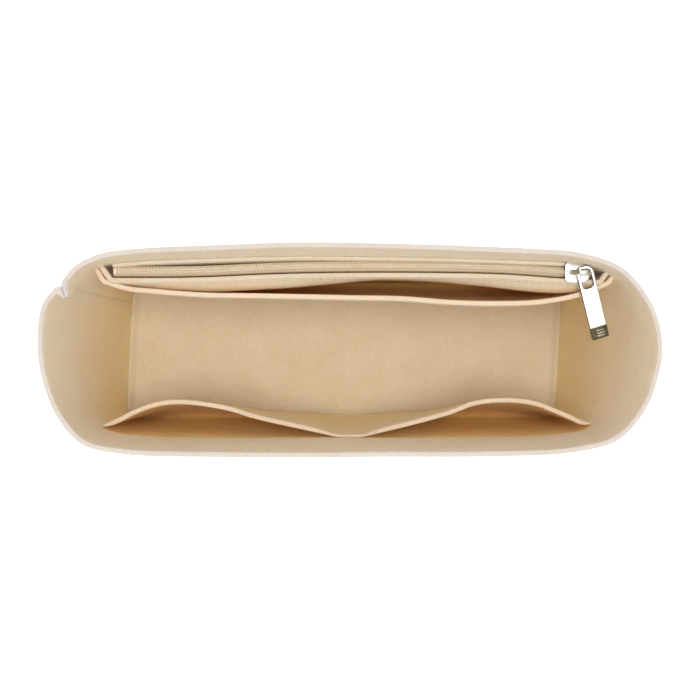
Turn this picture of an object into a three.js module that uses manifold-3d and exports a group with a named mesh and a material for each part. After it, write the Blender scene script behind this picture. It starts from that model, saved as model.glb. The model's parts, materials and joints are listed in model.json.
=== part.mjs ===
// A felt purse organizer insert: a stiff, open felt tub that stands inside a handbag.
// One strip of felt goes round a base panel and closes at a seam by the back left corner.
// Two bulging pockets line the front. Along the back are a slip pocket and a zip pocket.
// Millimetres: X along the length, Y towards the back, Z up, origin under the base's middle.

import * as THREE from "three";
import { mergeVertices } from "three/addons/utils/BufferGeometryUtils.js";
import Module from "manifold-3d";

const wasm = await Module();
wasm.setup();

// The tub
const rimLength = 280;
const rimWidth = 96;
const height = 140;
const baseLength = 253;
const baseWidth = 85;
const baseCornerRadius = 9;
const baseThickness = 2.4;
const wallFelt = 2.4;
const footWidth = 4.5;
const footThickness = 1.6;
const footBevel = 0.4;
const clearance = 0.3;
const seatClearance = 0.4;

// The seam that closes the wall strip
const seamBaseY = 26;
const seamGap = 0.3;
const seamNotchDepth = 1.6;
const finFelt = 1.4;
const finProudAtRim = 4.6;
const finProudBelow = 0.8;
const finBlendHeight = 26;
const finAngle = THREE.MathUtils.degToRad(-72);

// The front pockets
const pocketFelt = 2;
const pocketBelowRim = 48;
const pocketDepth = 16;
const pocketLeftInset = 18;
const pocketMiddleX = -1.5;
const pocketRightInset = 20;
const pocketStitchWidth = 12;

// The zip and the felt on both sides of it
const zipFeltBelowRim = 16;
const zipBandGap = 0.14;
const zipGroove = 5.4;
const zipLeftShare = 0.786;
const zipRightShare = 0.804;
const tapeThickness = 0.4;
const tapeDrop = 10;
const tapeGap = 1;
const coilHeight = 2.2;
const coilWidth = 1.25;
const bandFelt = 1.8;
const bandHeight = 18;
const bandShortfall = 10.6;
const stopLength = 1.2;
const bottomStopWidth = 3.8;
const panelTurnDepth = 10;

// The slip pocket
const slipBelowRim = 19;
const slipOpening = 7.8;

// The slider and its pull
const sliderInset = 7.76;
const sliderLength = 12.4;
const sliderWidth = 8;
const sliderCornerRadius = 3.6;
const plateThickness = 1;
const runningGap = 0.4;
const lowerPlateWidth = 3.4;
const lowerPlateLength = 11.4;
const flangeThickness = 0.4;
const flangeGap = 0.2;
const diamondWidth = 0.6;
const diamondLength = 4;
const crownSpan = 7.2;
const crownLeg = 2;
const crownWidth = 2;
const tunnelHeight = 3.2;
const beamHeight = 1.3;
const pullLength = 36.5;
const pullWidth = 8.2;
const pullThickness = 1.3;
const pullBevel = 0.2;
const pullEyeRadius = 3.8;
const pullTipRadius = 0.9;
const pullHoleLength = 9;
const pullHoleWidth = 5.2;
const pullHoleRadius = 1.8;
const pullTopBar = 1.8;
const pullPivotFromTop = 3.3;
const pullPivotHeight = 1.9;
const pullLegOffset = 0.7;
const pullYaw = THREE.MathUtils.degToRad(-73);
const pullSlope = THREE.MathUtils.degToRad(12);
const gripLength = 4.6;
const gripDepth = 0.3;
const gripMargin = 1.1;

// Rim outline from the seam's front lip, round the left end, front, right end and back,
// as shares of half the rim's length and half its width.
const rimShares = [
  [-0.944, 0.582],
  [-0.985, 0.42],
  [-1, 0.079],
  [-0.985, -0.28],
  [-0.939, -0.619],
  [-0.86, -0.875],
  [-0.735, -0.963],
  [-0.45, -0.994],
  [0, -1],
  [0.45, -0.995],
  [0.719, -0.958],
  [0.858, -0.845],
  [0.945, -0.56],
  [0.987, -0.237],
  [1, 0.03],
  [0.975, 0.37],
  [0.905, 0.68],
  [0.85, 0.805],
  [0.725, 0.916],
  [0.6, 0.945],
  [0.377, 0.972],
  [-0.064, 1],
  [-0.479, 0.972],
  [-0.7, 0.934],
  [-0.8, 0.89],
  [-0.88, 0.78],
  [-0.922, 0.642],
];
// The base's ends lean by this share of Y.
const baseSkewShare = 0.05;
// How far each front pocket stands out, along its width from its outer end.
const leftPocketShares = [
  [0, 0],
  [0.07, 0.3],
  [0.145, 0.62],
  [0.22, 0.87],
  [0.3, 0.99],
  [0.37, 1],
  [0.53, 0.83],
  [0.66, 0.56],
  [1, 0],
];
const rightPocketShares = [
  [0, 0],
  [0.05, 0.17],
  [0.115, 0.43],
  [0.18, 0.68],
  [0.25, 0.9],
  [0.33, 1.02],
  [0.42, 1.05],
  [0.51, 0.98],
  [0.64, 0.66],
  [1, 0],
];
// Top edges of the two back panels. Places are shares of half the rim's length. Depths are
// shares of how far the zip panel turns back, and of how far the slip pocket opens.
const zipPanelTopShares = [
  [-0.86, 1.05],
  [-0.836, 0.72],
  [-0.81, 0.25],
  [-0.786, 0],
  [-0.74, 0],
  [0, 0],
  [0.77, 0],
  [0.81, 0],
  [0.835, 0.18],
  [0.864, 0.58],
  [0.885, 0.9],
];
const slipTopShares = [
  [-0.885, -1.17],
  [-0.862, -0.79],
  [-0.835, -0.33],
  [-0.8, -0.03],
  [-0.727, 0.18],
  [-0.66, 0.28],
  [-0.494, 0.5],
  [-0.33, 0.55],
  [-0.012, 0.66],
  [0.17, 0.74],
  [0.337, 0.94],
  [0.503, 1],
  [0.636, 0.9],
  [0.752, 0.51],
  [0.81, 0.1],
  [0.845, -0.19],
  [0.88, -0.62],
  [0.905, -1],
];

const rimEndX = rimLength / 2;
const pocketHeight = height - pocketBelowRim;
const pocketLeftX = pocketLeftInset - rimEndX;
const pocketRightX = rimEndX - pocketRightInset;
const zipFeltTop = height - zipFeltBelowRim;
const zipLeftX = -zipLeftShare * rimEndX;
const zipRightX = zipRightShare * rimEndX;
const bandRightX = zipRightX - bandShortfall;
const sliderX = zipRightX - sliderInset;
const slipTop = height - slipBelowRim;
const wallBottomZ = baseThickness;
const footTopZ = wallBottomZ + footThickness;
const panelBottomZ = footTopZ + footBevel + clearance;
const panelBottomY = baseWidth / 2 - wallFelt - seatClearance - pocketFelt / 2;
const layerStep = pocketFelt + clearance;
const deckZ = zipFeltTop - coilHeight;
const halfGroove = zipGroove / 2;
const columnsRoundWall = 104;
const wallLevelShares = [0.1, 0.25, 0.45, 0.65, 0.8, 0.9, 1];
const frontPocketLevelShares = [0, 0.2, 0.4, 0.6, 0.8, 1];
const backPanelLevelShares = [0, 0.25, 0.5, 0.7, 0.87, 1];
const upperLevels = wallLevelShares.map((share) => share * height);
const lift = (point, z) => new THREE.Vector3(point.x, point.y, z);

// Closed surface through rings of points, bottom ring first and each ring anticlockwise from
// above. All have the same even count. The end rings are flat, and their caps run across them
// as a strip, from the first half of their points to the second half.
function loft(rings) {
  const count = rings[0].length;
  const positions = rings.flat().flatMap((p) => [p.x, p.y, p.z]);
  const triangles = [];
  for (let level = 0; level < rings.length - 1; level++) {
    for (let i = 0; i < count; i++) {
      const a = level * count + i;
      const b = level * count + ((i + 1) % count);
      triangles.push([a, b, b + count], [a, b + count, a + count]);
    }
  }
  const last = (rings.length - 1) * count;
  for (let i = 0; i < count / 2 - 1; i++) {
    const j = count - 1 - i;
    triangles.push([i, j, i + 1], [i + 1, j, j - 1]);
    triangles.push([last + i, last + i + 1, last + j], [last + i + 1, last + j - 1, last + j]);
  }
  return surface(positions, triangles.flat());
}

function surface(positions, index) {
  const geometry = new THREE.BufferGeometry();
  geometry.setAttribute("position", new THREE.Float32BufferAttribute(positions, 3));
  geometry.setIndex(index);
  return geometry;
}

// A felt sheet about a middle surface middle(s, w): s runs along it and w up it, both 0 to 1.
function feltSheet(middle, thickness, columns, heightShares) {
  const step = 0.001;
  const rings = [];
  for (const w of heightShares) {
    const front = [];
    const back = [];
    for (let i = 0; i <= columns; i++) {
      const s = i / columns;
      const centre = middle(s, w);
      const ahead = middle(Math.min(s + step, 1), w);
      const behind = middle(Math.max(s - step, 0), w);
      const along = ahead.sub(behind).setZ(0).normalize();
      const across = new THREE.Vector3(-along.y, along.x, 0).multiplyScalar(thickness / 2);
      front.push(centre.clone().sub(across));
      back.unshift(centre.clone().add(across));
    }
    rings.push([...front, ...back]);
  }
  return loft(rings);
}

// A flat outline of [y, z] points drawn out along X.
function alongX(outline, fromX, toX) {
  const shape = new THREE.Shape(outline.map(([y, z]) => new THREE.Vector2(y, z)));
  const geometry = new THREE.ExtrudeGeometry(shape, { depth: toX - fromX, bevelEnabled: false });
  const axes = new THREE.Matrix4().makeBasis(
    new THREE.Vector3(0, 1, 0),
    new THREE.Vector3(0, 0, 1),
    new THREE.Vector3(1, 0, 0),
  );
  return geometry.applyMatrix4(axes.setPosition(fromX, 0, 0));
}

function roundedRectangle(length, width, radius) {
  const x = length / 2;
  const y = width / 2;
  const shape = new THREE.Shape();
  shape.moveTo(-x + radius, -y);
  shape.lineTo(x - radius, -y);
  shape.absarc(x - radius, -y + radius, radius, -Math.PI / 2, 0);
  shape.lineTo(x, y - radius);
  shape.absarc(x - radius, y - radius, radius, 0, Math.PI / 2);
  shape.lineTo(-x + radius, y);
  shape.absarc(-x + radius, y - radius, radius, Math.PI / 2, Math.PI);
  shape.lineTo(-x, -y + radius);
  shape.absarc(-x + radius, -y + radius, radius, Math.PI, 1.5 * Math.PI);
  return shape;
}

function solid(geometry) {
  const bare = geometry.clone();
  bare.deleteAttribute("normal");
  bare.deleteAttribute("uv");
  const merged = mergeVertices(bare);
  const vertProperties = new Float32Array(merged.attributes.position.array);
  const triVerts = new Uint32Array(merged.index.array);
  return new wasm.Manifold(new wasm.Mesh({ numProp: 3, vertProperties, triVerts }));
}

function geometryOf(manifold) {
  const { vertProperties, triVerts } = manifold.getMesh();
  return surface(vertProperties, Array.from(triVerts));
}

// Middle height curve through [place, value] shares.
function shareCurve(shares) {
  const points = shares.map(([x, y]) => new THREE.Vector3(x, y, 0));
  return new THREE.CatmullRomCurve3(points, false, "centripetal");
}

// Value of a share curve at a place, found by halving.
function valueAt(curve, place) {
  let low = 0;
  let high = 1;
  while (high - low > 1e-5) {
    const middle = (low + high) / 2;
    if (curve.getPoint(middle).x < place) low = middle;
    else high = middle;
  }
  return curve.getPoint(low).y;
}

const rimCurve = new THREE.CatmullRomCurve3(
  rimShares.map(([x, y]) => new THREE.Vector3((x * rimLength) / 2, (y * rimWidth) / 2, 0)),
  false,
  "centripetal",
);
rimCurve.arcLengthDivisions = 1200;

// The base outline as one path that starts and ends under the seam.
const baseCurve = (() => {
  const x = baseLength / 2;
  const y = baseWidth / 2;
  const r = baseCornerRadius;
  const path = new THREE.Path();
  path.moveTo(-x, seamBaseY);
  path.lineTo(-x, -y + r);
  path.absarc(-x + r, -y + r, r, Math.PI, 1.5 * Math.PI);
  path.lineTo(x - r, -y);
  path.absarc(x - r, -y + r, r, -Math.PI / 2, 0);
  path.lineTo(x, y - r);
  path.absarc(x - r, y - r, r, 0, Math.PI / 2);
  path.lineTo(-x + r, y);
  path.absarc(-x + r, y - r, r, Math.PI / 2, Math.PI);
  path.lineTo(-x, seamBaseY);
  return path;
})();

const skewed = (point) => new THREE.Vector3(point.x + baseSkewShare * point.y, point.y, 0);
const inward = (tangent) => new THREE.Vector3(-tangent.y, tangent.x, 0).normalize();

// A point of the wall: t round the strip from 0 to 1, z up it, depth in from its outside.
function wallPoint(t, z, depth) {
  const share = z / height;
  const base = skewed(baseCurve.getPointAt(t));
  const baseInward = inward(skewed(baseCurve.getTangentAt(t)));
  const rimInward = inward(rimCurve.getTangentAt(t));
  const direction = baseInward.lerp(rimInward, share).normalize();
  const outside = base.lerp(rimCurve.getPointAt(t), share);
  return lift(outside.addScaledVector(direction, depth), z);
}

// Place t round the strip where the rim passes x, between two places.
function placeAtX(x, low, high) {
  const rising = rimCurve.getPointAt(high).x > rimCurve.getPointAt(low).x;
  while (high - low > 1e-6) {
    const middle = (low + high) / 2;
    if (rimCurve.getPointAt(middle).x < x === rising) low = middle;
    else high = middle;
  }
  return low;
}

const columnPlaces = Array.from({ length: columnsRoundWall + 1 }, (_, i) => i / columnsRoundWall);
// The wall's inner face has two more columns beside each fin.
const besideFin = [1 / 3, 2 / 3].map((share) => share / columnsRoundWall);
const beforeFin = besideFin.map((t) => 1 - t).reverse();
const insidePlaces = [...besideFin, ...columnPlaces.slice(1, -1), ...beforeFin];

// One level of the wall strip, with its two ends turned in side by side as fins.
function wallRing(z, innerDepth) {
  const outside = columnPlaces.map((t) => wallPoint(t, z, 0));
  const inside = insidePlaces.map((t) => wallPoint(t, z, innerDepth));
  const blend = THREE.MathUtils.smoothstep(z, height - finBlendHeight, height);
  const proud = THREE.MathUtils.lerp(finProudBelow, finProudAtRim, blend);
  const across = wallPoint(0, z, 1).sub(outside[0]).add(wallPoint(1, z, 1).sub(outside.at(-1)));
  const straightIn = across.setZ(0).normalize();
  const turned = new THREE.Vector3(Math.cos(finAngle), Math.sin(finAngle), 0);
  const along = straightIn.clone().lerp(turned, blend).normalize();
  const side = new THREE.Vector3(-along.y, along.x, 0);
  const root = outside[0].clone().lerp(outside.at(-1), 0.5).addScaledVector(straightIn, seamNotchDepth);
  const reach = Math.max(innerDepth - seamNotchDepth, 0) + proud;
  const at = (sideways, inwards) =>
    root.clone().addScaledVector(side, sideways).addScaledVector(along, inwards);
  const face = seamGap / 2;
  const back = face + finFelt;
  return [
    at(-face, reach),
    at(-face, 0),
    ...outside,
    at(face, 0),
    at(face, reach),
    at(back, reach),
    ...inside.reverse(),
    at(-back, reach),
  ];
}

function wallBand() {
  return loft([
    wallRing(wallBottomZ, wallFelt + footWidth),
    wallRing(footTopZ, wallFelt + footWidth),
    wallRing(footTopZ + footBevel, wallFelt),
    ...upperLevels.map((z) => wallRing(z, wallFelt)),
  ]);
}

// The room inside the wall, kept a clearance from it, which trims what is sewn to it.
function room() {
  const ring = (z) => columnPlaces.slice(1).map((t) => wallPoint(t, z, wallFelt + seatClearance));
  return solid(loft([panelBottomZ, ...upperLevels].map(ring)));
}

function basePanel() {
  const outline = baseCurve.getSpacedPoints(columnsRoundWall).slice(0, -1).map(skewed);
  return loft([0, baseThickness].map((z) => outline.map((point) => lift(point, z))));
}

// Both front pockets are one sheet, sewn flat to the front wall between them.
function frontPocketPanel() {
  const from = placeAtX(pocketLeftX, 0.08, 0.3);
  const middle = placeAtX(pocketMiddleX, 0.2, 0.5);
  const to = placeAtX(pocketRightX, 0.4, 0.6);
  const halfStitch = pocketStitchWidth / 2 / rimCurve.getLength();
  const leftCurve = shareCurve(leftPocketShares);
  const rightCurve = shareCurve(rightPocketShares);
  const bulge = (t) => {
    if (t < middle - halfStitch) {
      return valueAt(leftCurve, (t - from) / (middle - halfStitch - from));
    }
    if (t > middle + halfStitch) {
      return valueAt(rightCurve, (to - t) / (to - middle - halfStitch));
    }
    return 0;
  };
  const seated = wallFelt + seatClearance + pocketFelt / 2;
  const at = (s, w) => {
    const t = THREE.MathUtils.lerp(from, to, s);
    const z = THREE.MathUtils.lerp(panelBottomZ, pocketHeight, w);
    return wallPoint(t, z, seated + pocketDepth * bulge(t) * w);
  };
  return feltSheet(at, pocketFelt, 48, frontPocketLevelShares);
}

// Strip of felt on the back wall that carries the rear half of the zip.
const bandFrom = placeAtX(bandRightX, 0.55, 0.7);
const bandTo = placeAtX(zipLeftX, 0.9, 1);
const bandBottomZ = zipFeltTop - bandHeight;

function zipRearBand() {
  const seated = wallFelt + seatClearance + bandFelt / 2;
  const at = (s, w) => {
    const t = THREE.MathUtils.lerp(bandFrom, bandTo, s);
    return wallPoint(t, THREE.MathUtils.lerp(bandBottomZ, zipFeltTop, w), seated);
  };
  return feltSheet(at, bandFelt, 24, [0, 1]);
}

// The zip's straight line clears the front of that strip at both of its ends.
const bandFront = wallFelt + seatClearance + bandFelt;
const bandEnds = [bandFrom, bandTo].map((t) => wallPoint(t, bandBottomZ, bandFront).y);
const zipY = Math.min(...bandEnds) - zipBandGap - halfGroove;
const zipPanelY = zipY - halfGroove - pocketFelt / 2;

// A back pocket's panel: its top edge runs through shares in front of topY, depth forward,
// and its foot is straight. It leans up to its last level but one and is upright above that.
// The wall trims its ends.
function backPanel(shares, topY, depth, topZ, bottomY, inside) {
  const curve = shareCurve(shares);
  const uprightFrom = backPanelLevelShares.at(-2);
  const at = (s, w) => {
    const point = curve.getPoint(s);
    const lean = Math.min(w / uprightFrom, 1);
    const top = new THREE.Vector3((point.x * rimLength) / 2, topY - point.y * depth, 0);
    const x = THREE.MathUtils.lerp(-baseLength, baseLength, s) / 2;
    const bottom = new THREE.Vector3(x, bottomY, 0);
    return lift(bottom.lerp(top, lean), THREE.MathUtils.lerp(panelBottomZ, topZ, w));
  };
  const sheet = feltSheet(at, pocketFelt, 48, backPanelLevelShares);
  return geometryOf(solid(sheet).intersect(inside));
}

function zipPocketPanel(inside) {
  return backPanel(zipPanelTopShares, zipPanelY, -panelTurnDepth, zipFeltTop, panelBottomY, inside);
}

function slipPocketPanel(inside) {
  const topY = zipPanelY - layerStep;
  return backPanel(slipTopShares, topY, slipOpening, slipTop, panelBottomY - layerStep, inside);
}

// One half of the tape: flat under its coil, then turned down along the felt.
function tape(side) {
  const inner = side * (tapeGap / 2);
  const outer = side * (halfGroove - clearance);
  const fold = outer - side * tapeThickness;
  const outline = [
    [zipY + inner, deckZ],
    [zipY + outer, deckZ],
    [zipY + outer, deckZ - tapeDrop],
    [zipY + fold, deckZ - tapeDrop],
    [zipY + fold, deckZ - tapeThickness],
    [zipY + inner, deckZ - tapeThickness],
  ];
  return alongX(outline, zipLeftX, zipRightX);
}

function coilRow(side) {
  const inner = (side * tapeGap) / 2;
  const outer = inner + side * coilWidth;
  const outline = [
    [zipY + inner, deckZ],
    [zipY + outer, deckZ],
    [zipY + outer, deckZ + coilHeight],
    [zipY + inner, deckZ + coilHeight],
  ];
  const fromX = zipLeftX + 2 * stopLength + clearance;
  return alongX(outline, fromX, zipRightX - stopLength - clearance);
}

function box(length, width, tall) {
  return new THREE.BoxGeometry(length, width, tall);
}

// The slider about its own middle, with the tapes' top face at z 0.
function sliderBody() {
  const plateZ = coilHeight + runningGap;
  const topOutline = roundedRectangle(sliderLength, sliderWidth, sliderCornerRadius);
  const flat = { depth: plateThickness, bevelEnabled: false, curveSegments: 6 };
  const upper = new THREE.ExtrudeGeometry(topOutline, flat).translate(0, 0, plateZ);
  const lowerTop = -tapeThickness - runningGap;
  const lowerOutline = roundedRectangle(lowerPlateLength, lowerPlateWidth, lowerPlateWidth / 3);
  const lower = new THREE.ExtrudeGeometry(lowerOutline, flat).translate(0, 0, lowerTop - plateThickness);
  const overrun = plateThickness / 2;
  const necks = plateZ - lowerTop + 2 * overrun;
  const diamond = box(diamondLength, diamondWidth, necks);
  diamond.translate(sliderLength / 2 - diamondLength, 0, lowerTop - overrun + necks / 2);
  const flangeDrop = plateZ + overrun - clearance;
  const flangeY = tapeGap / 2 + coilWidth + flangeGap + flangeThickness / 2;
  const flangeLength = sliderLength - 2 * sliderCornerRadius;
  const flanges = [-1, 1].map((side) =>
    box(flangeLength, flangeThickness, flangeDrop).translate(0, side * flangeY, clearance + flangeDrop / 2),
  );
  const top = plateZ + plateThickness;
  const legTall = tunnelHeight + overrun;
  const legs = [-1, 1].map((side) =>
    box(crownLeg, crownWidth, legTall).translate((side * crownSpan) / 2, 0, top - overrun + legTall / 2),
  );
  const beamSide = roundedRectangle(crownSpan + crownLeg, 2 * beamHeight, beamHeight);
  const beam = new THREE.ExtrudeGeometry(beamSide, { depth: crownWidth, bevelEnabled: false, curveSegments: 6 });
  beam.rotateX(Math.PI / 2).translate(0, crownWidth / 2, top + tunnelHeight + beamHeight);
  const cutBelow = box(crownSpan - crownLeg, 2 * crownWidth, beamHeight);
  cutBelow.translate(0, 0, top + tunnelHeight + beamHeight / 2 - beamHeight);
  let body = solid(upper).add(solid(lower)).add(solid(diamond)).add(solid(beam));
  for (const piece of [...flanges, ...legs]) body = body.add(solid(piece));
  return geometryOf(body.subtract(solid(cutBelow)));
}

// Outline of the pull: round at the eye, nearly square at the tip.
function pullOutline(x, y) {
  const eye = pullEyeRadius;
  const tip = pullTipRadius;
  const shape = new THREE.Shape();
  shape.moveTo(-x + eye, -y);
  shape.lineTo(x - tip, -y);
  shape.absarc(x - tip, -y + tip, tip, -Math.PI / 2, 0);
  shape.lineTo(x, y - tip);
  shape.absarc(x - tip, y - tip, tip, 0, Math.PI / 2);
  shape.lineTo(-x + eye, y);
  shape.absarc(-x + eye, y - eye, eye, Math.PI / 2, Math.PI);
  shape.absarc(-x + eye, -y + eye, eye, Math.PI, 1.5 * Math.PI);
  return shape;
}

// The pull about its hinge: X runs down its length, Z is up through its thickness.
function pullTab() {
  const plan = pullOutline(pullLength / 2 - pullBevel, pullWidth / 2 - pullBevel);
  const hole = roundedRectangle(pullHoleLength + 2 * pullBevel, pullHoleWidth + 2 * pullBevel, pullHoleRadius);
  const holeX = pullTopBar + pullHoleLength / 2 - pullLength / 2;
  const holePoints = hole.getPoints(5).map((p) => new THREE.Vector2(p.x + holeX, p.y));
  plan.holes.push(new THREE.Path(holePoints.reverse()));
  const tab = new THREE.ExtrudeGeometry(plan, {
    depth: pullThickness - 2 * pullBevel,
    bevelSize: pullBevel,
    bevelThickness: pullBevel,
    bevelSegments: 1,
    curveSegments: 5,
  });
  tab.translate(pullLength / 2 - pullPivotFromTop, 0, pullBevel - pullThickness / 2);
  const endX = pullLength - pullPivotFromTop;
  const recess = box(gripLength, pullWidth - 2 * gripMargin, 2 * gripDepth);
  recess.translate(endX - gripMargin - gripLength / 2, 0, pullThickness / 2);
  return geometryOf(solid(tab).subtract(solid(recess)));
}

const group = new THREE.Group();

function addPart(parent, name, geometry, color, roughness, metalness) {
  const material = new THREE.MeshStandardMaterial({ color, roughness, metalness });
  const mesh = new THREE.Mesh(geometry, material);
  mesh.name = name;
  parent.add(mesh);
  return mesh;
}

const feltColor = 0xd9c3a3;
const tapeColor = 0xd2bd98;
const steelColor = 0xd8d4cf;
const addFelt = (name, geometry) => addPart(group, name, geometry, feltColor, 0.95, 0);
const addTape = (name, geometry) => addPart(group, name, geometry, tapeColor, 0.8, 0);
const addMetal = (parent, name, geometry) => addPart(parent, name, geometry, steelColor, 0.2, 1);

const inside = room();
addFelt("base_panel", basePanel());
addFelt("wall_band", wallBand());
addFelt("front_pocket_panel", frontPocketPanel());
addFelt("slip_pocket_panel", slipPocketPanel(inside));
addFelt("zip_pocket_panel", zipPocketPanel(inside));
addFelt("zip_rear_band", zipRearBand());
addTape("zip_tape_rear", geometryOf(solid(tape(1)).intersect(inside)));
addTape("zip_tape_front", geometryOf(solid(tape(-1)).intersect(inside)));
addTape("zip_coil_rear", coilRow(1));
addTape("zip_coil_front", coilRow(-1));

const stopZ = deckZ + clearance + coilHeight / 2;
const bottomStop = addMetal(group, "zip_bottom_stop", box(stopLength, bottomStopWidth, coilHeight));
bottomStop.position.set(zipLeftX + stopLength, zipY, stopZ);
for (const [side, name] of [[1, "zip_top_stop_rear"], [-1, "zip_top_stop_front"]]) {
  const stop = addMetal(group, name, box(stopLength, coilWidth, coilHeight));
  stop.position.set(zipRightX - stopLength / 2, zipY + (side * (tapeGap + coilWidth)) / 2, stopZ);
}

const slider = new THREE.Group();
slider.position.set(sliderX, zipY, deckZ);
group.add(slider);
addMetal(slider, "slider_body", sliderBody());
const hinge = new THREE.Group();
const plateTop = coilHeight + runningGap + plateThickness;
hinge.position.set(crownSpan / 2 - pullLegOffset, 0, plateTop + pullPivotHeight);
hinge.rotation.z = pullYaw;
slider.add(hinge);
const pull = addMetal(hinge, "pull_tab", pullTab());
pull.rotation.y = pullSlope;

export default group;
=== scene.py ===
import json
import math

import bmesh
import bpy
import numpy as np
from mathutils import Matrix, Vector, noise

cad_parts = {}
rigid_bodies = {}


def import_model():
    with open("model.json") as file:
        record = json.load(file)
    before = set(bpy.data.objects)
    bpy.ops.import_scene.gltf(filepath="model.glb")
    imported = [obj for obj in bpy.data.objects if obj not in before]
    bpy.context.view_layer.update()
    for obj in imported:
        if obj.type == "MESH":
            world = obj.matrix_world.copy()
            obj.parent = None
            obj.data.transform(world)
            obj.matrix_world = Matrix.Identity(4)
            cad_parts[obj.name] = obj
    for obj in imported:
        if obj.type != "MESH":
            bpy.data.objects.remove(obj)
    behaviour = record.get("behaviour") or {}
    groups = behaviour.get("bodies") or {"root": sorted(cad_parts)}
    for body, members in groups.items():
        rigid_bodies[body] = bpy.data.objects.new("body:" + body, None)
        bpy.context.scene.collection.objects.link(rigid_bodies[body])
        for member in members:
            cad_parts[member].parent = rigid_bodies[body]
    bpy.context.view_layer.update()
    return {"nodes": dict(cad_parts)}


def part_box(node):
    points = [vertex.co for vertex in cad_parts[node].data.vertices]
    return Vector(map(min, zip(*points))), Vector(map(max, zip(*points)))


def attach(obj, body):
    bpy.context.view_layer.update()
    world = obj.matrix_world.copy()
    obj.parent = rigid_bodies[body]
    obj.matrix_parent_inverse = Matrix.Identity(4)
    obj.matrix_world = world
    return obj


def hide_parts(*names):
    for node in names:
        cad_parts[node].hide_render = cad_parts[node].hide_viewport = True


# A felt purse organizer insert, seen from straight above. All sizes are in millimetres, in the
# model's own frame, and become metres where a mesh is made.

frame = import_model()

MM = 0.001
UP = np.array([0.0, 0.0, 1.0])


def node_box(name):
    """Lowest and highest corner of a node of the frame, in millimetres."""
    low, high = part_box(name)
    return np.array(low) / MM, np.array(high) / MM


def node_heights(name):
    """Lowest and highest point of a node, in millimetres."""
    low, high = node_box(name)
    return low[2], high[2]


# The tub's sizes, from the frame where it gives them
HEIGHT = node_heights("wall_band")[1]
RIM_LENGTH = 280.0
RIM_WIDTH = 96.0
BASE_LENGTH = 253.0
BASE_WIDTH = 85.0
BASE_CORNER = 9.0
BASE_THICKNESS = node_heights("base_panel")[1]
BASE_SKEW = 0.05
WALL_FELT = 2.4
FOOT_WIDTH = 4.5
SEAM_BASE_Y = 26.0
SEAM_NOTCH = 1.6
SEAM_GAP = 0.01
FIN_FELT = 1.4
FIN_PROUD_AT_RIM = 4.6
FIN_BLEND_HEIGHT = 26.0
FIN_DIRECTION = (math.cos(math.radians(-72)), math.sin(math.radians(-72)))
SEAT_CLEARANCE = 0.4
POCKET_FELT = 2.0
SOFT_FELT = 2.3
POCKET_BOTTOM, POCKET_TOP = node_heights("front_pocket_panel")
POCKET_LEFT_X = -124.0
POCKET_RIGHT_X = 121.0

# Rim outline from the seam's front lip, as shares of half the rim's length and width
RIM_SHARES = [
    (-0.944, 0.582), (-0.985, 0.42), (-1, 0.079), (-0.985, -0.28), (-0.939, -0.619),
    (-0.86, -0.875), (-0.735, -0.963), (-0.45, -0.994), (0, -1), (0.45, -0.995),
    (0.719, -0.958), (0.858, -0.845), (0.945, -0.56), (0.987, -0.237), (1, 0.03),
    (0.975, 0.37), (0.905, 0.68), (0.85, 0.805), (0.725, 0.916), (0.6, 0.945),
    (0.377, 0.972), (-0.064, 1), (-0.479, 0.972), (-0.7, 0.934), (-0.8, 0.89),
    (-0.88, 0.78), (-0.922, 0.642),
]


# Curves

def smooth_curve(points, steps=40):
    """Dense points of a smooth open curve through the given ones, with centripetal spacing."""
    points = np.array(points, float)
    padded = np.vstack([2 * points[0] - points[1], points, 2 * points[-1] - points[-2]])
    spacing = np.sqrt(np.linalg.norm(np.diff(padded, axis=0), axis=1))
    share = np.linspace(0, 1, steps, endpoint=False)[:, None]
    spans = []
    for i in range(1, len(padded) - 2):
        before, here, there, after = padded[i - 1:i + 3]
        first, middle, last = spacing[i - 1:i + 2]
        leave = (here - before) / first - (there - before) / (first + middle) + (there - here) / middle
        arrive = (there - here) / middle - (after - here) / (middle + last) + (after - there) / last
        leave, arrive = leave * middle, arrive * middle
        square = -3 * here + 3 * there - 2 * leave - arrive
        cube = 2 * here - 2 * there + leave + arrive
        spans.append(here + leave * share + square * share**2 + cube * share**3)
    return np.vstack([*spans, points[-1:]])


class Route:
    """A dense line in plan, read by its share of length."""

    def __init__(self, points):
        self.points = np.array(points, float)
        steps = np.linalg.norm(np.diff(self.points, axis=0), axis=1)
        self.run = np.concatenate([[0], np.cumsum(steps)])
        self.length = self.run[-1]

    def at(self, shares):
        where = np.clip(shares, 0, 1) * self.length
        return np.stack([np.interp(where, self.run, column) for column in self.points.T], axis=-1)

    def direction(self, shares, step=0.0008):
        ahead = self.at(np.minimum(shares + step, 1))
        behind = self.at(np.maximum(shares - step, 0))
        return unit(ahead - behind)


def unit(vectors):
    return vectors / np.maximum(np.linalg.norm(vectors, axis=-1, keepdims=True), 1e-9)


def leftward(directions):
    return np.stack([-directions[..., 1], directions[..., 0]], axis=-1)


def raised(plan, z):
    """Plan points lifted to one height or to one each."""
    return np.column_stack([plan, np.broadcast_to(z, len(plan))])


def mix(a, b, share):
    return a + (b - a) * share


def ease(value, low, high):
    """0 below low, 1 above high, smooth between."""
    share = np.clip((value - low) / (high - low), 0, 1)
    return share * share * (3 - 2 * share)


def table_curve(shares, value=1, across=1):
    """Read a smooth curve through (place, value) pairs at places, both scaled."""
    dense = smooth_curve([(x * across, y * value) for x, y in shares])
    order = np.maximum.accumulate(dense[:, 0])
    return lambda places: np.interp(places, order, dense[:, 1])


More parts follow.
